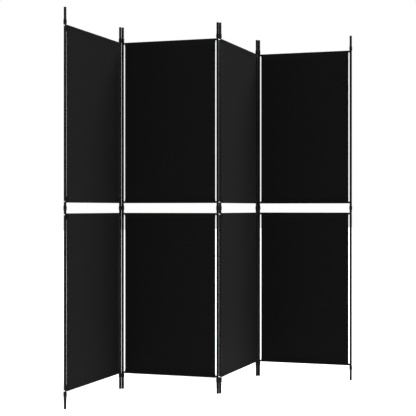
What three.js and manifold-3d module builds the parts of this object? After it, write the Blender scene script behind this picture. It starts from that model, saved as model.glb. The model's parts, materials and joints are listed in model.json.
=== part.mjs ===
// A folding room divider screen of four hinged panels, standing in a zigzag.
// Each panel has two round tube posts, four screwed-on rails and two cloths, whose end pockets
// go round the rails. Plastic figure-of-eight clips join the posts of neighbouring panels at
// three heights, and each post turns freely in its half of the clip.
// Millimetres, +Z up. The origin is on the floor, in the middle of the screen's footprint.
// Left and right are as seen from the front, looking along +Y.

import * as THREE from "three";
import { mergeVertices } from "three/addons/utils/BufferGeometryUtils.js";
import Module from "manifold-3d";

const wasm = await Module();
wasm.setup();

// Driving dimensions
const PANEL_COUNT = 4;
const SCREEN_HEIGHT = 1800;
const PANEL_WIDTH = 500;
const PANEL_TURN = 40.1; // degrees from the screen's long direction, each way in turn
const POST_DIAMETER = 12;
const POST_WALL = 1;
const RAIL_DIAMETER = 9.5;
const RAIL_WALL = 0.8;
const RAIL_INSET = 82; // centre of the top and bottom rails from the post ends
const SLOT_HEIGHT = 49; // open slot between the two middle rails
const INSERT_LENGTH = 12; // threaded insert pressed into each rail end
const INSERT_BORE = 3.3;
const SCREW_HEAD_HOLE = 6.2; // in the post's outer wall
const SCREW_SHANK_HOLE = 4.3; // in its inner wall
const CLOTH_SIDE_GAP = 6; // daylight between a post and the cloth's edge
const CLOTH_THICKNESS = 0.6;
const POCKET_DEPTH = 24; // from the rail's centre to the pocket's seam
const SEAM_WIDTH = 3;
const POST_PITCH = 13.6; // between the two posts in one clip
const CLIP_HEIGHT = 20;
const CLIP_WALL = 1.3;
const CLIP_INSET = 66; // centre of the top and bottom clips from the post ends
const CLIP_WAIST_ANGLE = 50; // degrees from the clip's long direction to the end of its flat side
const FOOT_HEIGHT = 5;
const CAP_HEIGHT = 3;
const PLUG_DEPTH = 14; // how far a foot or cap reaches into its post
const PLUG_EDGE = 1.5;
const FIT_GAP = 0.3;

// Facets on round pieces
const POST_SIDES = 16;
const RAIL_SIDES = 10;
const PLUG_SIDES = 10;
const HOLE_SIDES = 6;
const POCKET_HALF_STEPS = 4; // an arc is drawn with twice as many steps
const CLIP_HALF_STEPS = 6;

// Worked out from the driving dimensions
const POST_RADIUS = POST_DIAMETER / 2;
const POST_BORE = POST_RADIUS - POST_WALL;
const POST_SPACING = PANEL_WIDTH - POST_DIAMETER;
const RAIL_RADIUS = RAIL_DIAMETER / 2;
const CLOTH_WIDTH = POST_SPACING - POST_DIAMETER - 2 * CLOTH_SIDE_GAP;
const MIDDLE = SCREEN_HEIGHT / 2;
const MIDDLE_RAIL_OFFSET = (SLOT_HEIGHT + RAIL_DIAMETER) / 2;
const TURN = THREE.MathUtils.degToRad(PANEL_TURN);
const RAIL_HEIGHTS = {
  bottom_rail: RAIL_INSET,
  lower_middle_rail: MIDDLE - MIDDLE_RAIL_OFFSET,
  upper_middle_rail: MIDDLE + MIDDLE_RAIL_OFFSET,
  top_rail: SCREEN_HEIGHT - RAIL_INSET,
};
const CLOTH_BASES = {
  lower_cloth: RAIL_HEIGHTS.bottom_rail,
  upper_cloth: RAIL_HEIGHTS.upper_middle_rail,
};
const CLOTH_SPAN = RAIL_HEIGHTS.lower_middle_rail - RAIL_HEIGHTS.bottom_rail;
const CLIP_HEIGHTS = {
  bottom_clip: CLIP_INSET,
  middle_clip: MIDDLE,
  top_clip: SCREEN_HEIGHT - CLIP_INSET,
};

// Finishes
const FINISHES = {
  paint: { color: 0x131314, roughness: 0.35, metalness: 0.6 },
  cloth: { color: 0x1a1a1c, roughness: 0.95, metalness: 0 },
  plastic: { color: 0x0e0e0f, roughness: 0.5, metalness: 0 },
};

// A solid turned about +Z from [radius, height] points that run up its outer side.
function turned(profile, sides) {
  const points = profile.map(([radius, height]) => new THREE.Vector2(radius, height));
  return new THREE.LatheGeometry(points, sides).rotateX(Math.PI / 2);
}

// The same, turned about +X.
function turnedAlong(profile, sides) {
  return turned(profile, sides).rotateY(Math.PI / 2);
}

function solidOf(geometry) {
  const bare = geometry.clone();
  bare.deleteAttribute("normal");
  bare.deleteAttribute("uv");
  const merged = mergeVertices(bare, 1e-3);
  const vertProperties = merged.attributes.position.array;
  const triVerts = new Uint32Array(merged.index.array);
  return new wasm.Manifold(new wasm.Mesh({ numProp: 3, vertProperties, triVerts }));
}

function geometryOf(solid) {
  const mesh = solid.getMesh();
  const geometry = new THREE.BufferGeometry();
  geometry.setAttribute("position", new THREE.BufferAttribute(mesh.vertProperties, 3));
  geometry.setIndex(new THREE.BufferAttribute(mesh.triVerts, 1));
  geometry.computeVertexNormals();
  return geometry;
}

// A rod from the post's axis out through its wall, along +X.
function drill(diameter) {
  const radius = diameter / 2;
  const rod = [
    [0, 0],
    [radius, 0],
    [radius, POST_DIAMETER],
    [0, POST_DIAMETER],
  ];
  return turnedAlong(rod, HOLE_SIDES);
}

// A left post: an open tube, drilled at each rail with a wide hole on its outer side, for the
// screw's head, and a narrow one on its inner side, for the shank.
function postGeometry() {
  const low = FOOT_HEIGHT + FIT_GAP;
  const high = SCREEN_HEIGHT - CAP_HEIGHT - FIT_GAP;
  const wall = [
    [POST_BORE, low],
    [POST_RADIUS, low],
    [POST_RADIUS, high],
    [POST_BORE, high],
    [POST_BORE, low],
  ];
  const heights = Object.values(RAIL_HEIGHTS);
  const drilled = heights.reduce((post, height) => {
    const shank = drill(SCREW_SHANK_HOLE).translate(0, 0, height);
    const head = drill(SCREW_HEAD_HOLE).rotateZ(Math.PI).translate(0, 0, height);
    return post.subtract(solidOf(shank)).subtract(solidOf(head));
  }, solidOf(turned(wall, POST_SIDES)));
  return geometryOf(drilled);
}

// A tube along +X with a threaded insert in each end. The ends are hollowed to sit against the
// posts.
function railGeometry() {
  const bore = RAIL_RADIUS - RAIL_WALL;
  const tapped = INSERT_BORE / 2;
  const insertEnd = POST_RADIUS + INSERT_LENGTH;
  const wall = [
    [tapped, 0],
    [RAIL_RADIUS, 0],
    [RAIL_RADIUS, POST_SPACING],
    [tapped, POST_SPACING],
    [tapped, POST_SPACING - insertEnd],
    [bore, POST_SPACING - insertEnd],
    [bore, insertEnd],
    [tapped, insertEnd],
    [tapped, 0],
  ];
  const reach = POST_RADIUS + FIT_GAP;
  const saddle = turned(
    [
      [0, -POST_RADIUS],
      [reach, -POST_RADIUS],
      [reach, POST_RADIUS],
      [0, POST_RADIUS],
    ],
    POST_SIDES,
  );
  const tube = solidOf(turnedAlong(wall, RAIL_SIDES));
  const leftCut = tube.subtract(solidOf(saddle));
  return geometryOf(leftCut.subtract(solidOf(saddle.translate(POST_SPACING, 0, 0))));
}

// A cloth with its lower rail's axis at the origin. The section across the panel is a thin
// sheet that opens at each end into a teardrop pocket round the rail.
function clothGeometry() {
  const half = CLOTH_THICKNESS / 2;
  const inner = RAIL_RADIUS + 2 * FIT_GAP;
  const outer = inner + CLOTH_THICKNESS;
  const tip = POCKET_DEPTH - SEAM_WIDTH;
  const section = new THREE.Shape();
  section.absarc(0, 0, outer, Math.PI, 2 * Math.PI);
  section.lineTo(half, POCKET_DEPTH);
  section.lineTo(half, CLOTH_SPAN - POCKET_DEPTH);
  section.absarc(0, CLOTH_SPAN, outer, 0, Math.PI);
  section.lineTo(-half, CLOTH_SPAN - POCKET_DEPTH);
  section.lineTo(-half, POCKET_DEPTH);
  const lowerPocket = new THREE.Path();
  lowerPocket.absarc(0, 0, inner, Math.PI, 2 * Math.PI);
  lowerPocket.lineTo(0, tip);
  const upperPocket = new THREE.Path();
  upperPocket.absarc(0, CLOTH_SPAN, inner, 0, Math.PI);
  upperPocket.lineTo(0, CLOTH_SPAN - tip);
  section.holes.push(lowerPocket, upperPocket);
  const options = { depth: CLOTH_WIDTH, curveSegments: POCKET_HALF_STEPS, bevelEnabled: false };
  return new THREE.ExtrudeGeometry(section, options).rotateX(Math.PI / 2).rotateZ(Math.PI / 2);
}

// A figure-of-eight clip with its left bore at the origin and its right one along +X.
function clipGeometry() {
  const bore = (POST_RADIUS + FIT_GAP) / Math.cos(Math.PI / (2 * CLIP_HALF_STEPS));
  const outer = POST_RADIUS + FIT_GAP + CLIP_WALL;
  const waist = THREE.MathUtils.degToRad(CLIP_WAIST_ANGLE);
  const plan = new THREE.Shape();
  plan.absarc(0, 0, outer, waist, 2 * Math.PI - waist);
  plan.absarc(POST_PITCH, 0, outer, waist - Math.PI, Math.PI - waist);
  for (const centre of [0, POST_PITCH]) {
    const hole = new THREE.Path();
    hole.absarc(centre, 0, bore, 0, 2 * Math.PI);
    plan.holes.push(hole);
  }
  const options = { depth: CLIP_HEIGHT, curveSegments: CLIP_HALF_STEPS, bevelEnabled: false };
  return new THREE.ExtrudeGeometry(plan, options).translate(0, 0, -CLIP_HEIGHT / 2);
}

// A plug for a post's lower end, standing on the origin. Its head is as wide as the post, and
// its stem goes up inside.
function plugGeometry(headHeight) {
  const stem = POST_BORE - FIT_GAP;
  const profile = [
    [0, 0],
    [POST_RADIUS - PLUG_EDGE, 0],
    [POST_RADIUS, PLUG_EDGE],
    [POST_RADIUS, headHeight],
    [stem, headHeight],
    [stem, headHeight + PLUG_DEPTH],
    [0, headHeight + PLUG_DEPTH],
  ];
  return turned(profile, PLUG_SIDES);
}

const post = postGeometry();
const rail = railGeometry();
const cloth = clothGeometry();
const clip = clipGeometry();
const foot = plugGeometry(FOOT_HEIGHT);
const cap = plugGeometry(CAP_HEIGHT).rotateX(Math.PI);

function piece(name, geometry, finish) {
  const mesh = new THREE.Mesh(geometry, new THREE.MeshStandardMaterial(FINISHES[finish]));
  mesh.name = name;
  return mesh;
}

// A post with its foot and cap. Turned half round, a left post is a right one.
function postAssembly(name, side) {
  const assembly = new THREE.Group();
  const topCap = piece(`${name}_${side}_cap`, cap, "plastic");
  topCap.position.z = SCREEN_HEIGHT;
  assembly.add(piece(`${name}_${side}_post`, post, "paint"));
  assembly.add(piece(`${name}_${side}_foot`, foot, "plastic"));
  assembly.add(topCap);
  return assembly;
}

// A panel with its left post on the origin and its right one along +X.
function panel(name) {
  const group = new THREE.Group();
  const rightSide = postAssembly(name, "right");
  rightSide.position.x = POST_SPACING;
  rightSide.rotation.z = Math.PI;
  group.add(postAssembly(name, "left"), rightSide);
  for (const [railName, height] of Object.entries(RAIL_HEIGHTS)) {
    const mesh = piece(`${name}_${railName}`, rail, "paint");
    mesh.position.z = height;
    group.add(mesh);
  }
  for (const [clothName, height] of Object.entries(CLOTH_BASES)) {
    const mesh = piece(`${name}_${clothName}`, cloth, "cloth");
    mesh.position.set((POST_SPACING - CLOTH_WIDTH) / 2, 0, height);
    group.add(mesh);
  }
  return group;
}

// The three clips of one hinge, round a left post on the origin.
function hinge(name) {
  const group = new THREE.Group();
  for (const [clipName, height] of Object.entries(CLIP_HEIGHTS)) {
    const mesh = piece(`${name}_${clipName}`, clip, "plastic");
    mesh.position.z = height;
    group.add(mesh);
  }
  return group;
}

const panelStep = POST_SPACING * Math.cos(TURN);
const panelDepth = POST_SPACING * Math.sin(TURN);
const screenLength = PANEL_COUNT * panelStep + (PANEL_COUNT - 1) * POST_PITCH;
const screen = new THREE.Group();
for (let i = 0; i < PANEL_COUNT; i += 1) {
  const goesBack = i % 2 === 0;
  const startX = i * (panelStep + POST_PITCH) - screenLength / 2;
  const startY = goesBack ? -panelDepth / 2 : panelDepth / 2;
  const placed = panel(`panel_${i + 1}`);
  placed.position.set(startX, startY, 0);
  placed.rotation.z = goesBack ? TURN : -TURN;
  screen.add(placed);
  if (i < PANEL_COUNT - 1) {
    const clips = hinge(`hinge_${i + 1}`);
    clips.position.set(startX + panelStep, -startY, 0);
    screen.add(clips);
  }
}

export default screen;
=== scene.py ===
# A folding room divider screen: four panels of thin black tube with black cloth stretched between
# round rails, hinged by plastic clips and standing in a zigzag. Metres, +Z up.
import json
import math

import bmesh
import bpy
from mathutils import Matrix, Vector, noise

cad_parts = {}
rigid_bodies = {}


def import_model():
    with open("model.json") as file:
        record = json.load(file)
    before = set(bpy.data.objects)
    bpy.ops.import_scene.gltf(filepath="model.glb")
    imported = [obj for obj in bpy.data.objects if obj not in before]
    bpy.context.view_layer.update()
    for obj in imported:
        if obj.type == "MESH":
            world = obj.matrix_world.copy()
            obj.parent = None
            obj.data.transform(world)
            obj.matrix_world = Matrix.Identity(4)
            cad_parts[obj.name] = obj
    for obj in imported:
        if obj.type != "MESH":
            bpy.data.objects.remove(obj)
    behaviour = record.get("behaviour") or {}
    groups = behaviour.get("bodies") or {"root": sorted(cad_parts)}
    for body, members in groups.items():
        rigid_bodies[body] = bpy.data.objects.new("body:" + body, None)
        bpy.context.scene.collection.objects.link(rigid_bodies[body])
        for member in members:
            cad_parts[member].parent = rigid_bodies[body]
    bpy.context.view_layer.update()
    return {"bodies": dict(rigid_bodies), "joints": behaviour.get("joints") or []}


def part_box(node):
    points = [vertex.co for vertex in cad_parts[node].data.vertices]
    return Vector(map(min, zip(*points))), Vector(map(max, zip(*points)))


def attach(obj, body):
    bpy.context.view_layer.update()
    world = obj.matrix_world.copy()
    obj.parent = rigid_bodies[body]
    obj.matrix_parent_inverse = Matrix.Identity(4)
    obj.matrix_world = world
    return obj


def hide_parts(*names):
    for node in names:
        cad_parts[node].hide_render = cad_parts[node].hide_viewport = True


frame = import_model()


# Posts: each panel stands between two round steel tubes, cut from 12 mm tube with a 1 mm wall,
# drilled at each rail and powder-coated satin black. The outer hole lets the screw's long head
# through and the narrower inner hole stops it.

POST_RADIUS = 0.006
POST_BORE = 0.005
POST_SIDES = 48
TUBE_END_ROUNDING = 0.0002
HEAD_HOLE_RADIUS = 0.0031
SHANK_HOLE_RADIUS = 0.00215
HOLE_SIDES = 32
MERGE_DISTANCE = 1e-6
SHARP_ANGLE = 0.6
COAT_DARK = (0.0020, 0.0020, 0.0021, 1)
COAT_LIGHT = (0.0034, 0.0034, 0.0036, 1)
COAT_SCUFF = (0.022, 0.021, 0.020, 1)
SCUFF_HEIGHT = 0.09
ORANGE_PEEL_DEPTH = 0.00003


def middle(node):
    low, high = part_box(node)
    return (low + high) / 2


# Each piece of a panel is made lying along +X from the axis of the panel's left post, with its
# front towards -Y, and then put in each panel's place. A right post is a left one turned round.
panel_places = {}
for panel in sorted(name for name in frame["bodies"] if name.startswith("panel")):
    left_axis = middle(f"{panel}_left_post")
    along = middle(f"{panel}_right_post") - left_axis
    left_axis.z = 0
    turn = Matrix.Rotation(math.atan2(along.y, along.x), 4, "Z")
    panel_places[panel] = Matrix.Translation(left_axis) @ turn
post_spacing = along.length
side_places = {
    "left": Matrix.Identity(4),
    "right": Matrix.Translation((post_spacing, 0, 0)) @ Matrix.Rotation(math.pi, 4, "Z"),
}
rail_heights = {
    rail: middle(f"panel_1_{rail}").z
    for rail in ("bottom_rail", "lower_middle_rail", "upper_middle_rail", "top_rail")
}


def turned(profile, sides):
    """A closed solid turned about Z from the (radius, height) corners of its section."""
    bm = bmesh.new()
    corners = [bm.verts.new((radius, 0, height)) for radius, height in profile]
    edges = [bm.edges.new(pair) for pair in zip(corners, corners[1:] + corners[:1])]
    bmesh.ops.spin(
        bm, geom=corners + edges, cent=(0, 0, 0), axis=(0, 0, 1),
        angle=2 * math.pi, steps=sides, use_merge=True,
    )
    bmesh.ops.remove_doubles(bm, verts=bm.verts, dist=MERGE_DISTANCE)
    on_axis = [e for e in bm.edges if max(v.co.xy.length for v in e.verts) < MERGE_DISTANCE]
    bmesh.ops.delete(bm, geom=on_axis, context="EDGES")
    bmesh.ops.recalc_face_normals(bm, faces=bm.faces)
    return bm


def rounded(bm, width, segments, chosen):
    """Rounds the sharp edges that the test chooses by their middle point."""
    sharp = [
        e for e in bm.edges
        if len(e.link_faces) == 2 and e.calc_face_angle() > SHARP_ANGLE
        and chosen((e.verts[0].co + e.verts[1].co) / 2)
    ]
    bmesh.ops.bevel(
        bm, geom=sharp, offset=width, offset_type="OFFSET", affect="EDGES",
        segments=segments, profile=0.5, material=-1,
    )
    return bm


def moved(bm, place):
    bmesh.ops.transform(bm, matrix=place, verts=bm.verts)
    return bm


def joined(first, second, operation):
    """Two solids united, or the first with the second cut out of it. Both are used up."""
    blanks = []
    for bm in (first, second):
        mesh = bpy.data.meshes.new("blank")
        bm.to_mesh(mesh)
        bm.free()
        blanks.append(bpy.data.objects.new("blank", mesh))
        bpy.context.scene.collection.objects.link(blanks[-1])
    cut = blanks[0].modifiers.new("cut", "BOOLEAN")
    cut.operation = operation
    cut.solver = "EXACT"
    cut.object = blanks[1]
    evaluated = blanks[0].evaluated_get(bpy.context.evaluated_depsgraph_get())
    result = bmesh.new()
    result.from_mesh(evaluated.to_mesh())
    for blank in blanks:
        mesh = blank.data
        bpy.data.objects.remove(blank)
        bpy.data.meshes.remove(mesh)
    return result


def pattern_mesh(name, bm, material, sharp_angle=SHARP_ANGLE):
    """The finished mesh that a piece's copies are taken from."""
    mesh = bpy.data.meshes.new(name)
    bm.to_mesh(mesh)
    bm.free()
    mesh.shade_smooth()
    mesh.set_sharp_from_angle(angle=sharp_angle)
    mesh.materials.append(material)
    return mesh


def add_piece(name, pattern, place, body, slot, *nodes):
    """A copy of the pattern in its place, riding on its body instead of the CAD nodes."""
    mesh = pattern.copy()
    mesh.name = name
    mesh.transform(place)
    piece = bpy.data.objects.new(name, mesh)
    bpy.context.scene.collection.objects.link(piece)
    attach(piece, body)
    if nodes:
        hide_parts(*nodes)
    return piece


def new_material(name, finish):
    """A material with its shader's sockets set, its node tree and its shader."""
    material = bpy.data.materials.new(name)
    material.use_nodes = True
    shader = material.node_tree.nodes["Principled BSDF"]
    for socket, value in finish.items():
        shader.inputs[socket].default_value = value
    return material, material.node_tree, shader


def new_node(tree, kind, inputs, **settings):
    """A node whose inputs are values or other nodes' outputs."""
    node = tree.nodes.new(kind)
    for setting, value in settings.items():
        setattr(node, setting, value)
    for socket, value in inputs.items():
        if isinstance(value, bpy.types.NodeSocket):
            tree.links.new(value, node.inputs[socket])
        else:
            node.inputs[socket].default_value = value
    return node


def speckle(tree, place, scale, detail=2):
    """Smooth noise from 0 to 1 with about that many bumps to the metre."""
    noise_inputs = {"Vector": place, "Scale": scale, "Detail": detail}
    return new_node(tree, "ShaderNodeTexNoise", noise_inputs).outputs["Fac"]


def spread(tree, value, start, end, low, high):
    """The value taken from the range start to end into the range low to high."""
    ranges = {"Value": value, "From Min": start, "From Max": end, "To Min": low, "To Max": high}
    return new_node(tree, "ShaderNodeMapRange", ranges).outputs["Result"]


def blended(tree, share, first, second):
    """The first colour where share is 0 and the second where it is 1."""
    mix = new_node(tree, "ShaderNodeMix", {}, data_type="RGBA")
    for socket, value in ((0, share), (6, first), (7, second)):
        if isinstance(value, bpy.types.NodeSocket):
            tree.links.new(value, mix.inputs[socket])
        else:
            mix.inputs[socket].default_value = value
    return mix.outputs[2]


def relief(tree, height, depth, under=None):
    """The shader's normal with the height pattern raised by that depth."""
    inputs = {"Height": height, "Distance": depth, "Strength": 1.0}
    if under is not None:
        inputs["Normal"] = under
    return new_node(tree, "ShaderNodeBump", inputs).outputs["Normal"]


def powder_coat():
    """Satin black powder coat: fine orange peel, a little dust, and scuffs near the floor."""
    finish = {"Metallic": 0.0, "IOR": 1.5, "Specular IOR Level": 0.07}
    material, tree, shader = new_material("black_powder_coat", finish)
    place = new_node(tree, "ShaderNodeTexCoord", {}).outputs["Object"]
    height = new_node(tree, "ShaderNodeSeparateXYZ", {"Vector": place}).outputs["Z"]
    cloudy = speckle(tree, place, 22, 4)
    grains = speckle(tree, place, 1900, 1)
    base = blended(tree, cloudy, COAT_DARK, COAT_LIGHT)
    near_floor = spread(tree, height, SCUFF_HEIGHT, 0.0, 0.0, 1.0)
    scratchy = spread(tree, speckle(tree, place, 420, 5), 0.60, 0.72, 0.0, 1.0)
    scuffed = new_node(
        tree, "ShaderNodeMath", {0: near_floor, 1: scratchy}, operation="MULTIPLY",
    ).outputs[0]
    worn = blended(tree, scuffed, base, COAT_SCUFF)
    tree.links.new(worn, shader.inputs["Base Color"])
    tree.links.new(spread(tree, cloudy, 0.3, 0.7, 0.42, 0.55), shader.inputs["Roughness"])
    tree.links.new(relief(tree, grains, ORANGE_PEEL_DEPTH), shader.inputs["Normal"])
    return material


coat = powder_coat()
post_low, post_high = (corner.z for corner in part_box("panel_1_left_post"))
post = turned(
    [(POST_BORE, post_low), (POST_RADIUS, post_low), (POST_RADIUS, post_high), (POST_BORE, post_high)],
    POST_SIDES,
)
rounded(post, TUBE_END_ROUNDING, 2, lambda point: True)
for height in rail_heights.values():
    reach = 2 * POST_RADIUS
    stepped_drill = turned(
        [(0, -reach), (HEAD_HOLE_RADIUS, -reach), (HEAD_HOLE_RADIUS, 0),
         (SHANK_HOLE_RADIUS, 0), (SHANK_HOLE_RADIUS, reach), (0, reach)],
        HOLE_SIDES,
    )
    across = Matrix.Translation((0, 0, height)) @ Matrix.Rotation(math.pi / 2, 4, "Y")
    post = joined(post, moved(stepped_drill, across), "DIFFERENCE")
post_mesh = pattern_mesh("post", post, coat)
for panel, panel_place in panel_places.items():
    for side, side_place in side_places.items():
        node = f"{panel}_{side}_post"
        add_piece(f"{node}_tube", post_mesh, panel_place @ side_place, panel, "frame_paint", node)


# Rails: four lengths of 9.5 mm steel tube across each panel, powder-coated like the posts. A
# threaded steel insert is pressed into each end, and the ends are hollowed to fit the posts.

RAIL_RADIUS = 0.00475
RAIL_BORE = 0.00395
RAIL_SIDES = 40
INSERT_LENGTH = 0.012
INSERT_THREAD_RADIUS = 0.0021
SADDLE_CLEARANCE = 0.0001

insert_end = POST_RADIUS + INSERT_LENGTH
rail = turned(
    [(INSERT_THREAD_RADIUS, 0), (RAIL_RADIUS, 0), (RAIL_RADIUS, post_spacing),
     (INSERT_THREAD_RADIUS, post_spacing), (INSERT_THREAD_RADIUS, post_spacing - insert_end),
     (RAIL_BORE, post_spacing - insert_end), (RAIL_BORE, insert_end),
     (INSERT_THREAD_RADIUS, insert_end)],
    RAIL_SIDES,
)
moved(rail, Matrix.Rotation(math.pi / 2, 4, "Y"))
for axis in (0, post_spacing):
    saddle = bmesh.new()
    bmesh.ops.create_cone(
        saddle, cap_ends=True, segments=POST_SIDES, depth=4 * RAIL_RADIUS,
        radius1=POST_RADIUS + SADDLE_CLEARANCE, radius2=POST_RADIUS + SADDLE_CLEARANCE,
        matrix=Matrix.Translation((axis, 0, 0)),
    )
    rail = joined(rail, saddle, "DIFFERENCE")
rail_mesh = pattern_mesh("rail", rail, coat)
for panel, panel_place in panel_places.items():
    for name, height in rail_heights.items():
        place = panel_place @ Matrix.Translation((0, 0, height))
        add_piece(f"{panel}_{name}_tube", rail_mesh, place, panel, "frame_paint", f"{panel}_{name}")


# Rail screws: machine screws with a hexagon socket in a long round head, bright zinc plated. Each
# goes through its post into a rail's insert, and its head ends flush with the post.

SCREW_HEAD_RADIUS = 0.0030
SCREW_HEAD_FRONT = -0.0061
SCREW_HEAD_BACK = 0.0048
SCREW_ROOT_RADIUS = 0.0016
SCREW_THREAD_RADIUS = 0.002
SCREW_TIP = 0.0165
THREAD_PITCH = 0.0007
SCREW_SIDES = 24
SOCKET_RADIUS = 0.0015
SOCKET_DEPTH = 0.0028
SCREW_HEAD_ROUNDING = 0.0004
END_TOLERANCE = 1e-5
LATHE_RING_DEPTH = 0.00001


def zinc_plate():
    """Bright zinc over turned steel: pale, with faint rings left by the lathe."""
    finish = {"Metallic": 1.0, "Base Color": (0.93, 0.94, 0.95, 1)}
    material, tree, shader = new_material("bright_zinc_plate", finish)
    place = new_node(tree, "ShaderNodeTexCoord", {}).outputs["Object"]
    patchy = speckle(tree, place, 900, 3)
    lathe_rings = speckle(tree, place, 5200, 1)
    tree.links.new(spread(tree, patchy, 0.3, 0.7, 0.20, 0.30), shader.inputs["Roughness"])
    tree.links.new(relief(tree, lathe_rings, LATHE_RING_DEPTH), shader.inputs["Normal"])
    return material


screw_section = [(0, SCREW_HEAD_FRONT), (SCREW_HEAD_RADIUS, SCREW_HEAD_FRONT)]
screw_section += [(SCREW_HEAD_RADIUS, SCREW_HEAD_BACK), (SCREW_ROOT_RADIUS, SCREW_HEAD_BACK)]
thread_turns = int((SCREW_TIP - SCREW_HEAD_BACK) / THREAD_PITCH) - 1
for i in range(thread_turns):
    start = SCREW_HEAD_BACK + (i + 0.5) * THREAD_PITCH
    screw_section += [(SCREW_ROOT_RADIUS, start), (SCREW_THREAD_RADIUS, start + THREAD_PITCH / 2)]
screw_section += [(SCREW_ROOT_RADIUS, SCREW_TIP), (0, SCREW_TIP)]
screw = turned(screw_section, SCREW_SIDES)
rounded(screw, SCREW_HEAD_ROUNDING, 3, lambda point: point.z < SCREW_HEAD_FRONT + END_TOLERANCE)
socket = bmesh.new()
bmesh.ops.create_cone(
    socket, cap_ends=True, segments=6, depth=2 * SOCKET_DEPTH, radius1=SOCKET_RADIUS,
    radius2=SOCKET_RADIUS, matrix=Matrix.Translation((0, 0, SCREW_HEAD_FRONT)),
)
screw = moved(joined(screw, socket, "DIFFERENCE"), Matrix.Rotation(math.pi / 2, 4, "Y"))
screw_mesh = pattern_mesh("rail_screw", screw, zinc_plate())
for panel, panel_place in panel_places.items():
    for side, side_place in side_places.items():
        for rail_name, height in rail_heights.items():
            place = panel_place @ side_place @ Matrix.Translation((0, 0, height))
            add_piece(f"{panel}_{side}_{rail_name}_screw", screw_mesh, place, panel, "screw_steel")


# Feet and caps: moulded black polyethylene plugs, pushed into the ends of each post. The head is
# as wide as the tube, with a rounded edge, and barbs on the stem grip the bore.

PLUG_EDGE_ROUNDING = 0.0015
PLUG_STEM_RADIUS = 0.0046
PLUG_BARB_RADIUS = 0.0049
PLUG_BARBS = 4
BARB_CREST = 0.2
BARB_END = 0.9
PLUG_SIDES = 48


def moulded_plastic(name, tint, grain, roughness):
    """Moulded black plastic with a fine spark-eroded grain and small swirls of sheen."""
    finish = {"Metallic": 0.0, "IOR": 1.49, "Specular IOR Level": 0.1}
    material, tree, shader = new_material(name, finish)
    place = new_node(tree, "ShaderNodeTexCoord", {}).outputs["Object"]
    swirls = speckle(tree, place, 160, 3)
    darker = tuple(0.7 * part for part in tint) + (1,)
    lighter = tuple(1.3 * part for part in tint) + (1,)
    tree.links.new(blended(tree, swirls, darker, lighter), shader.inputs["Base Color"])
    rough = spread(tree, swirls, 0.25, 0.75, roughness - 0.06, roughness + 0.08)
    tree.links.new(rough, shader.inputs["Roughness"])
    tree.links.new(relief(tree, speckle(tree, place, 3200, 2), grain), shader.inputs["Normal"])
    return material


plug_plastic = moulded_plastic("black_polyethylene", (0.0036, 0.0036, 0.0038), 0.00002, 0.48)
for end in ("foot", "cap"):
    low, high = (corner.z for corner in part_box(f"panel_1_left_{end}"))
    head = post_low if end == "foot" else high - post_high
    stem_end = high - low
    section = [(0, 0), (POST_RADIUS, 0), (POST_RADIUS, head), (PLUG_STEM_RADIUS, head)]
    barb_pitch = (stem_end - head) / (PLUG_BARBS + 1)
    for i in range(PLUG_BARBS):
        start = head + (i + 0.5) * barb_pitch
        section += [(PLUG_STEM_RADIUS, start), (PLUG_BARB_RADIUS, start + BARB_CREST * barb_pitch)]
        section += [(PLUG_STEM_RADIUS, start + BARB_END * barb_pitch)]
    section += [(PLUG_STEM_RADIUS, stem_end), (0, stem_end)]
    plug = turned(section, PLUG_SIDES)
    rounded(plug, PLUG_EDGE_ROUNDING, 5, lambda point: point.z < END_TOLERANCE)
    if end == "cap":
        flip = Matrix.Translation((0, 0, high)) @ Matrix.Rotation(math.pi, 4, "X")
        moved(plug, flip)
    plug_mesh = pattern_mesh(end, plug, plug_plastic)
    for panel, panel_place in panel_places.items():
        for side, side_place in side_places.items():
            node = f"{panel}_{side}_{end}"
            place = panel_place @ side_place
            add_piece(f"{node}_plug", plug_mesh, place, panel, "post_plug_plastic", node)


# Hinge clips: figure-of-eight clips moulded in black nylon, three to a hinge. The posts of two
# panels turn in the two bores. A single ring of the same moulding sits at each clip height on
# the posts at the screen's free ends.

CLIP_OUTER_RADIUS = 0.0076
CLIP_BORE_RADIUS = 0.0062
CLIP_EDGE_ROUNDING = 0.0011
CLIP_WAIST = math.radians(50)
CLIP_SIDES = 64
CLIP_END_SHARE = 0.49
FLAT_ANGLE = 0.01

nylon = moulded_plastic("black_nylon", (0.0028, 0.0028, 0.0030), 0.000015, 0.40)
hinges = sorted(name.removesuffix("_clips") for name in frame["bodies"] if name.endswith("_clips"))
joint_places = {j["name"]: Vector(j["pos_m"]) for j in frame["joints"]}
clip_low, clip_high = (corner.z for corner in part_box("hinge_1_middle_clip"))
clip_height = clip_high - clip_low
post_pitch = (joint_places["hinge_1_right"] - joint_places["hinge_1_left"]).length
clip_heights = {
    level: middle(f"hinge_1_{level}_clip").z for level in ("bottom", "middle", "top")
}


def round_bar(radius, length, x):
    """A round bar along Z with its middle on the X axis."""
    bar = bmesh.new()
    bmesh.ops.create_cone(
        bar, cap_ends=True, segments=CLIP_SIDES, depth=length, radius1=radius, radius2=radius,
        matrix=Matrix.Translation((x, 0, 0)),
    )
    return bar


def bored(body, *centres):
    """The moulding with its outer edges rounded and then bored through at each centre."""
    bmesh.ops.dissolve_limit(body, angle_limit=FLAT_ANGLE, verts=body.verts, edges=body.edges)
    rounded(body, CLIP_EDGE_ROUNDING, 4, lambda point: abs(point.z) > CLIP_END_SHARE * clip_height)
    for x in centres:
        body = joined(body, round_bar(CLIP_BORE_RADIUS, 2 * clip_height, x), "DIFFERENCE")
    return body


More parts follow.
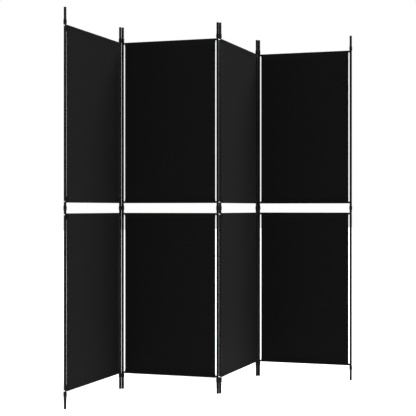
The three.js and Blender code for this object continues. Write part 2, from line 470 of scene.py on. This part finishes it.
waist = bmesh.new()
waist_size = (
    post_pitch - 2 * CLIP_OUTER_RADIUS * math.cos(CLIP_WAIST),
    2 * CLIP_OUTER_RADIUS * math.sin(CLIP_WAIST),
    clip_height,
)
waist_place = Matrix.Translation((post_pitch / 2, 0, 0)) @ Matrix.Diagonal((*waist_size, 1))
bmesh.ops.create_cube(waist, size=1, matrix=waist_place)
left_half = round_bar(CLIP_OUTER_RADIUS, clip_height, 0)
right_half = round_bar(CLIP_OUTER_RADIUS, clip_height, post_pitch)
clip = joined(joined(left_half, waist, "UNION"), right_half, "UNION")
clip_mesh = pattern_mesh("hinge_clip", bored(clip, 0, post_pitch), nylon)
for hinge in hinges:
    for level, height in clip_heights.items():
        axis = joint_places[f"{hinge}_left"]
        place = Matrix.Translation((axis.x, axis.y, height))
        node = f"{hinge}_{level}_clip"
        add_piece(f"{node}_body", clip_mesh, place, f"{hinge}_clips", "hinge_plastic", node)

ring_mesh = pattern_mesh("end_ring", bored(round_bar(CLIP_OUTER_RADIUS, clip_height, 0), 0), nylon)
for panel, side in (("panel_1", "left"), ("panel_4", "right")):
    for level, height in clip_heights.items():
        place = panel_places[panel] @ side_places[side] @ Matrix.Translation((0, 0, height))
        add_piece(f"{panel}_{side}_{level}_ring", ring_mesh, place, panel, "hinge_plastic")


# Cloths: matt black woven polyester, two to a panel, above and below the middle rails. Each end
# is turned round a rail and sewn down as a pocket, with a short flap behind, the side edges are
# hemmed, and the cloth is stretched between its two rails.

CLOTH_THICKNESS = 0.0004
CLOTH_SIDE_GAP = 0.006
POCKET_DEPTH = 0.024
POCKET_RADIUS = 0.0051
FLAP_LENGTH = 0.003
FLAP_OFFSET = 0.00045
HEM_WIDTH = 0.009
HEM_STEP = 0.0003
CLOTH_COLUMNS = 36
CLOTH_ROWS = 30
FLAP_STEPS = 2
POCKET_SIDE_STEPS = 8
POCKET_ROUND_STEPS = 26
CUT_TOLERANCE = 1e-7
WAVE_HEIGHT = 0.0006
WAVE_FADE = 0.12
BROAD_WAVES = (5.5, 1.7)
BROAD_SHARE = 0.7
BAND_WAVES = (16.0, 1.1)
BAND_SHARE = 0.3
SEED_STEP = 10.0
STITCH_LENGTH = 0.0026
STITCH_PITCH = 0.0030
THREAD_WIDTH = 0.00042
THREAD_HEIGHT = 0.00026
STITCH_MARGIN = 0.004
HEM_STITCH_INSET = 0.0015
HEM_TOLERANCE = 1e-5
SEAM_CLEARANCE = 1e-4
ALL_SMOOTH_ANGLE = 3.2
THREAD_COUNT_PITCH = 0.00045
WEAVE_DEPTH = 0.00008
WEAVE_CROSSING = 0.4
WEAVE_CROWN = 0.6
GATHER_DEPTH = 0.0006
GATHER_REACH = 0.016
GATHER_SCALE = (130, 28, 1)
SLUB_SCALE = (900, 30, 1)
# Painted shade: the darker colour given to the gaps between the woven threads.
WEAVE_GAP_PAINTED_SHADE = (0.0035, 0.0035, 0.0035, 1)
CLOTH_DARK = (0.0062, 0.0062, 0.0062, 1)
CLOTH_LIGHT = (0.0080, 0.0080, 0.0080, 1)

cloth_width = post_spacing - 2 * POST_RADIUS - 2 * CLOTH_SIDE_GAP
cloth_span = rail_heights["lower_middle_rail"] - rail_heights["bottom_rail"]
tangent_angle = math.acos(POCKET_RADIUS / POCKET_DEPTH)
tangent_point = Vector((0, math.sin(tangent_angle), math.cos(tangent_angle))) * POCKET_RADIUS


def drawn_to(bm, last, run, point, steps):
    """Carries the cloth's section straight on to the point, with its length so far in run."""
    shift = (point - last.co) / steps
    for _ in range(steps):
        length_so_far = last[run] + shift.length
        start = last.co.copy()
        last = bmesh.ops.extrude_vert_indiv(bm, verts=[last])["verts"][0]
        last.co = start + shift
        last[run] = length_so_far
    return last


def drawn_round(bm, last, run, angle, steps):
    """Carries the section round the rail, which lies along the X axis."""
    for _ in range(steps):
        length_so_far = last[run] + POCKET_RADIUS * abs(angle) / steps
        start = last.co.copy()
        last = bmesh.ops.extrude_vert_indiv(bm, verts=[last])["verts"][0]
        last.co = Matrix.Rotation(angle / steps, 3, "X") @ start
        last[run] = length_so_far
    return last


def wave(x, z, seed):
    """How far a stretched cloth stands out of its plane, which dies away towards its rails."""
    near_rail = min(z, cloth_span - z) - POCKET_DEPTH
    fade = min(1.0, max(0.0, near_rail / WAVE_FADE))
    fade = fade * fade * (3 - 2 * fade)
    layer = SEED_STEP * seed
    broad = noise.noise(Vector((x * BROAD_WAVES[0], z * BROAD_WAVES[1], layer)))
    bands = noise.noise(Vector((x * BAND_WAVES[0], z * BAND_WAVES[1], layer + SEED_STEP / 2)))
    return WAVE_HEIGHT * fade * (BROAD_SHARE * broad + BAND_SHARE * bands)


def cloth_strip():
    """The sewn cloth as one layer, with its lower rail on the X axis, and its cut length."""
    bm = bmesh.new()
    run = bm.verts.layers.float.new("run")
    last = bm.verts.new((0, FLAP_OFFSET, POCKET_DEPTH + FLAP_LENGTH))
    for point, steps in (
        (Vector((0, FLAP_OFFSET, POCKET_DEPTH - FLAP_LENGTH)), FLAP_STEPS),
        (tangent_point, POCKET_SIDE_STEPS),
    ):
        last = drawn_to(bm, last, run, point, steps)
    last = drawn_round(bm, last, run, -2 * (math.pi - tangent_angle), POCKET_ROUND_STEPS)
    for height, steps in (
        (POCKET_DEPTH - FLAP_LENGTH, POCKET_SIDE_STEPS),
        (POCKET_DEPTH + FLAP_LENGTH, FLAP_STEPS),
        (cloth_span / 2, CLOTH_ROWS),
    ):
        last = drawn_to(bm, last, run, Vector((0, 0, height)), steps)
    cut_length = 2 * last[run]
    bmesh.ops.mirror(
        bm, geom=bm.verts[:] + bm.edges[:], axis="Z", merge_dist=MERGE_DISTANCE,
        matrix=Matrix.Translation((0, 0, -cloth_span / 2)),
    )
    bmesh.ops.remove_doubles(bm, verts=bm.verts, dist=MERGE_DISTANCE)
    for vert in bm.verts:
        if vert.co.z > cloth_span / 2 + MERGE_DISTANCE:
            vert[run] = cut_length - vert[run]
    swept = bmesh.ops.extrude_edge_only(bm, edges=bm.edges[:])["geom"]
    far_side = [item for item in swept if isinstance(item, bmesh.types.BMVert)]
    bmesh.ops.translate(bm, verts=far_side, vec=(cloth_width, 0, 0))
    across = [e for e in bm.edges if abs(e.verts[0].co.x - e.verts[1].co.x) > 0.5 * cloth_width]
    bmesh.ops.subdivide_edges(bm, edges=across, cuts=CLOTH_COLUMNS - 1)
    for x in (HEM_WIDTH, HEM_WIDTH + HEM_STEP):
        for line in (x, cloth_width - x):
            everything = bm.verts[:] + bm.edges[:] + bm.faces[:]
            bmesh.ops.bisect_plane(
                bm, geom=everything, dist=CUT_TOLERANCE, plane_co=(line, 0, 0), plane_no=(1, 0, 0),
            )
    uv = bm.loops.layers.uv.new("UVMap")
    for face in bm.faces:
        for loop in face.loops:
            loop[uv].uv = (loop.vert.co.x, loop.vert[run])
    bmesh.ops.recalc_face_normals(bm, faces=bm.faces)
    return bm, cut_length


def stitch_row(bm, start, direction, length, up):
    """A row of lockstitches as beads of thread, with up the way out of the cloth."""
    across = direction.cross(up)
    turn = Matrix((direction, across, up)).transposed().to_4x4()
    size = Matrix.Diagonal((STITCH_LENGTH / 2, THREAD_WIDTH / 2, THREAD_HEIGHT / 2, 1))
    first = bmesh.ops.create_uvsphere(
        bm, u_segments=6, v_segments=4, radius=1, matrix=Matrix.Translation(start) @ turn @ size,
    )["verts"]
    bead = list({item for vert in first for item in (vert, *vert.link_edges, *vert.link_faces)})
    bmesh.ops.spin(
        bm, geom=bead, cent=(0, 0, 0), axis=(1, 0, 0), angle=0, use_duplicate=True,
        dvec=direction * STITCH_PITCH, steps=int(length / STITCH_PITCH),
    )


def cloth_stitching():
    """Every stitch of one cloth: a row along each pocket and one down each hem, on both faces."""
    bm = bmesh.new()
    proud = THREAD_HEIGHT / 4
    seam_front = -(CLOTH_THICKNESS / 2 + proud)
    seam_back = FLAP_OFFSET + CLOTH_THICKNESS / 2 + proud
    seam_length = cloth_width - 2 * STITCH_MARGIN
    for z in (POCKET_DEPTH, cloth_span - POCKET_DEPTH):
        for y, outward in ((seam_front, -1), (seam_back, 1)):
            start = Vector((STITCH_MARGIN, y, z))
            stitch_row(bm, start, Vector((1, 0, 0)), seam_length, Vector((0, outward, 0)))
    hem_start = POCKET_DEPTH + FLAP_LENGTH + STITCH_MARGIN
    hem_length = cloth_span - 2 * hem_start
    hem_face = CLOTH_THICKNESS + proud
    for x in (HEM_WIDTH - HEM_STITCH_INSET, cloth_width - HEM_WIDTH + HEM_STITCH_INSET):
        for outward in (-1, 1):
            start = Vector((x, outward * hem_face, hem_start))
            stitch_row(bm, start, Vector((0, 0, 1)), hem_length, Vector((0, outward, 0)))
    bmesh.ops.recalc_face_normals(bm, faces=bm.faces)
    return bm


def worked(tree, operation, first, second=0.0):
    """A Math node's result."""
    return new_node(tree, "ShaderNodeMath", {0: first, 1: second}, operation=operation).outputs[0]


def woven_polyester(cut_length):
    """Matt black plain weave whose threads pass over and under each other, puckered at the seams, and
    painted darker in the gaps between threads as shade.
    """
    finish = {"Roughness": 0.88, "IOR": 1.45, "Specular IOR Level": 0.03}
    finish |= {"Sheen Weight": 0.03, "Sheen Roughness": 0.35, "Sheen Tint": (0.9, 0.9, 0.92, 1)}
    material, tree, shader = new_material("black_woven_polyester", finish)
    place = new_node(tree, "ShaderNodeTexCoord", {}).outputs["UV"]
    sides = new_node(tree, "ShaderNodeSeparateXYZ", {"Vector": place})
    thread = math.pi / THREAD_COUNT_PITCH
    weft = worked(tree, "SINE", worked(tree, "MULTIPLY", sides.outputs["X"], thread))
    warp = worked(tree, "SINE", worked(tree, "MULTIPLY", sides.outputs["Y"], thread))
    crossing = worked(tree, "MULTIPLY", worked(tree, "MULTIPLY", weft, warp), WEAVE_CROSSING)
    weft_crown = worked(tree, "MULTIPLY", worked(tree, "ABSOLUTE", weft), WEAVE_CROWN)
    warp_crown = worked(tree, "MULTIPLY", worked(tree, "ABSOLUTE", warp), WEAVE_CROWN)
    over = worked(tree, "ADD", weft_crown, crossing)
    under = worked(tree, "SUBTRACT", warp_crown, crossing)
    crown = worked(tree, "MAXIMUM", over, under)

    along_cut = worked(tree, "SUBTRACT", sides.outputs["Y"], cut_length / 2)
    from_middle = worked(tree, "ABSOLUTE", along_cut)
    seam_place = cloth_span / 2 - POCKET_DEPTH
    from_seam = worked(tree, "ABSOLUTE", worked(tree, "SUBTRACT", from_middle, seam_place))
    at_seam = spread(tree, from_seam, 0.0, GATHER_REACH, 1.0, 0.0)
    stretch = new_node(tree, "ShaderNodeMapping", {"Vector": place, "Scale": GATHER_SCALE})
    gathers = worked(tree, "MULTIPLY", speckle(tree, stretch.outputs["Vector"], 1, 2), at_seam)

    slubs = new_node(tree, "ShaderNodeMapping", {"Vector": place, "Scale": SLUB_SCALE})
    streaks = speckle(tree, slubs.outputs["Vector"], 1, 3)
    cloudy = speckle(tree, place, 9, 3)
    shade = worked(tree, "MULTIPLY", worked(tree, "ADD", streaks, cloudy), 0.5)
    yarn = blended(tree, shade, CLOTH_DARK, CLOTH_LIGHT)
    # Painted shade: where the thread crowns are low, in the gaps of the weave, the yarn colour is
    # blended towards a darker one.
    yarn_and_painted_gap_shade = blended(tree, spread(tree, crown, 0.1, 0.6, 0.0, 1.0), WEAVE_GAP_PAINTED_SHADE, yarn)
    tree.links.new(yarn_and_painted_gap_shade, shader.inputs["Base Color"])
    puckered = relief(tree, gathers, GATHER_DEPTH)
    tree.links.new(relief(tree, crown, WEAVE_DEPTH, puckered), shader.inputs["Normal"])
    return material


strip, cut_length = cloth_strip()
strip_mesh = pattern_mesh("cloth", strip, woven_polyester(cut_length), ALL_SMOOTH_ANGLE)
thread_finish = moulded_plastic("black_polyester_thread", (0.007, 0.007, 0.0072), 0.00006, 0.6)
stitching_mesh = pattern_mesh("stitching", cloth_stitching(), thread_finish, ALL_SMOOTH_ANGLE)
cloth_rails = {
    "lower_cloth": ("bottom_rail", "lower_middle_rail"),
    "upper_cloth": ("upper_middle_rail", "top_rail"),
}
side_gap = (post_spacing - cloth_width) / 2
for number, (panel, panel_place) in enumerate(panel_places.items()):
    for half, (cloth, (low_rail, high_rail)) in enumerate(cloth_rails.items()):
        seed = 2 * number + half
        place = panel_place @ Matrix.Translation((side_gap, 0, rail_heights[low_rail]))
        stretched = []
        for pattern, ending in ((strip_mesh, "sheet"), (stitching_mesh, "stitching")):
            waved = pattern.copy()
            for vert in waved.vertices:
                vert.co.y += wave(vert.co.x, vert.co.z, seed)
            nodes = [f"{panel}_{cloth}"] if ending == "sheet" else []
            name = f"{panel}_{cloth}_{ending}"
            stretched.append(add_piece(name, waved, place, panel, "cloth", *nodes))
            bpy.data.meshes.remove(waved)
        sheet, stitching = stretched
        hem = sheet.vertex_groups.new(name="hem")
        hem_bottom = POCKET_DEPTH + FLAP_LENGTH + SEAM_CLEARANCE
        in_hem = []
        for vert in strip_mesh.vertices:
            from_side = min(vert.co.x, cloth_width - vert.co.x)
            from_rail = min(vert.co.z, cloth_span - vert.co.z)
            if from_side < HEM_WIDTH + HEM_TOLERANCE and from_rail > hem_bottom:
                in_hem.append(vert.index)
        hem.add(in_hem, 1.0, "REPLACE")
        layers = sheet.modifiers.new("thickness", "SOLIDIFY")
        layers.thickness = 2 * CLOTH_THICKNESS
        layers.offset = 0
        layers.vertex_group = hem.name
        layers.thickness_vertex_group = 0.5


# The studio: a white floor that glows a little, as a backlit sheet does, under a white sky. One
# broad soft light stands far off to the right of the camera, so that the panels turned towards it
# are two or three times as bright as the others, and a weaker one stands behind.

CAMERA_PLACE = (-1.874, -3.980, 0.900)
CAMERA_TURN = math.radians(-25.4)
CAMERA_LENS = 75.95
FLOOR_SIZE = 60.0
FLOOR_GLOW = 0.72
SKY_SEEN = 1.0
SKY_LIGHT = 0.20
KEY_TURN = math.radians(62)
KEY_HEIGHT = math.radians(38)
KEY_STRENGTH = 4.2
BACK_TURN = math.radians(205)
BACK_HEIGHT = math.radians(35)
BACK_STRENGTH = 1.3
LIGHT_WIDTH = math.radians(35)
SENSOR_WIDTH = 36
VIEW_DISTANCE = 100
FLOOR_DARK = (0.93, 0.93, 0.93, 1)
FLOOR_LIGHT = (0.95, 0.95, 0.95, 1)

floor_bm = bmesh.new()
bmesh.ops.create_grid(floor_bm, x_segments=1, y_segments=1, size=FLOOR_SIZE / 2)
floor_mesh = bpy.data.meshes.new("studio_floor")
floor_bm.to_mesh(floor_mesh)
floor_bm.free()
floor = bpy.data.objects.new("studio_floor", floor_mesh)
bpy.context.scene.collection.objects.link(floor)
floor_finish = {"Roughness": 0.9, "Specular IOR Level": 0.0, "Emission Color": (1, 1, 1, 1)}
floor_finish["Emission Strength"] = FLOOR_GLOW
paint, paint_tree, paint_shader = new_material("pale_floor", floor_finish)
spot = new_node(paint_tree, "ShaderNodeTexCoord", {}).outputs["Object"]
floor_tint = blended(paint_tree, speckle(paint_tree, spot, 3, 2), FLOOR_DARK, FLOOR_LIGHT)
paint_tree.links.new(floor_tint, paint_shader.inputs["Base Color"])
floor_mesh.materials.append(paint)

world = bpy.data.worlds.new("white_sky")
bpy.context.scene.world = world
world.use_nodes = True
sky = world.node_tree
background = sky.nodes["Background"]
background.inputs["Color"].default_value = (1, 1, 1, 1)
seen = new_node(sky, "ShaderNodeLightPath", {}).outputs["Is Camera Ray"]
sky.links.new(spread(sky, seen, 0.0, 1.0, SKY_LIGHT, SKY_SEEN), background.inputs["Strength"])


def soft_light(name, turn, height, strength):
    """A far-off light as wide as LIGHT_WIDTH. A turn of 0 comes from -Y and 90 degrees from +X."""
    lamp = bpy.data.lights.new(name, "SUN")
    lamp.energy = strength
    lamp.angle = LIGHT_WIDTH
    light = bpy.data.objects.new(name, lamp)
    light.rotation_euler = (math.pi / 2 - height, 0, turn)
    bpy.context.scene.collection.objects.link(light)


soft_light("key_light", KEY_TURN, KEY_HEIGHT, KEY_STRENGTH)
soft_light("back_light", BACK_TURN, BACK_HEIGHT, BACK_STRENGTH)

lens = bpy.data.cameras.new("camera")
lens.lens = CAMERA_LENS
lens.sensor_width = SENSOR_WIDTH
lens.clip_end = VIEW_DISTANCE
camera = bpy.data.objects.new("camera", lens)
camera.location = CAMERA_PLACE
camera.rotation_euler = (math.pi / 2, 0, CAMERA_TURN)
bpy.context.scene.collection.objects.link(camera)
bpy.context.scene.camera = camera
bpy.context.scene.view_settings.view_transform = "Standard"

bpy.context.view_layer.update()
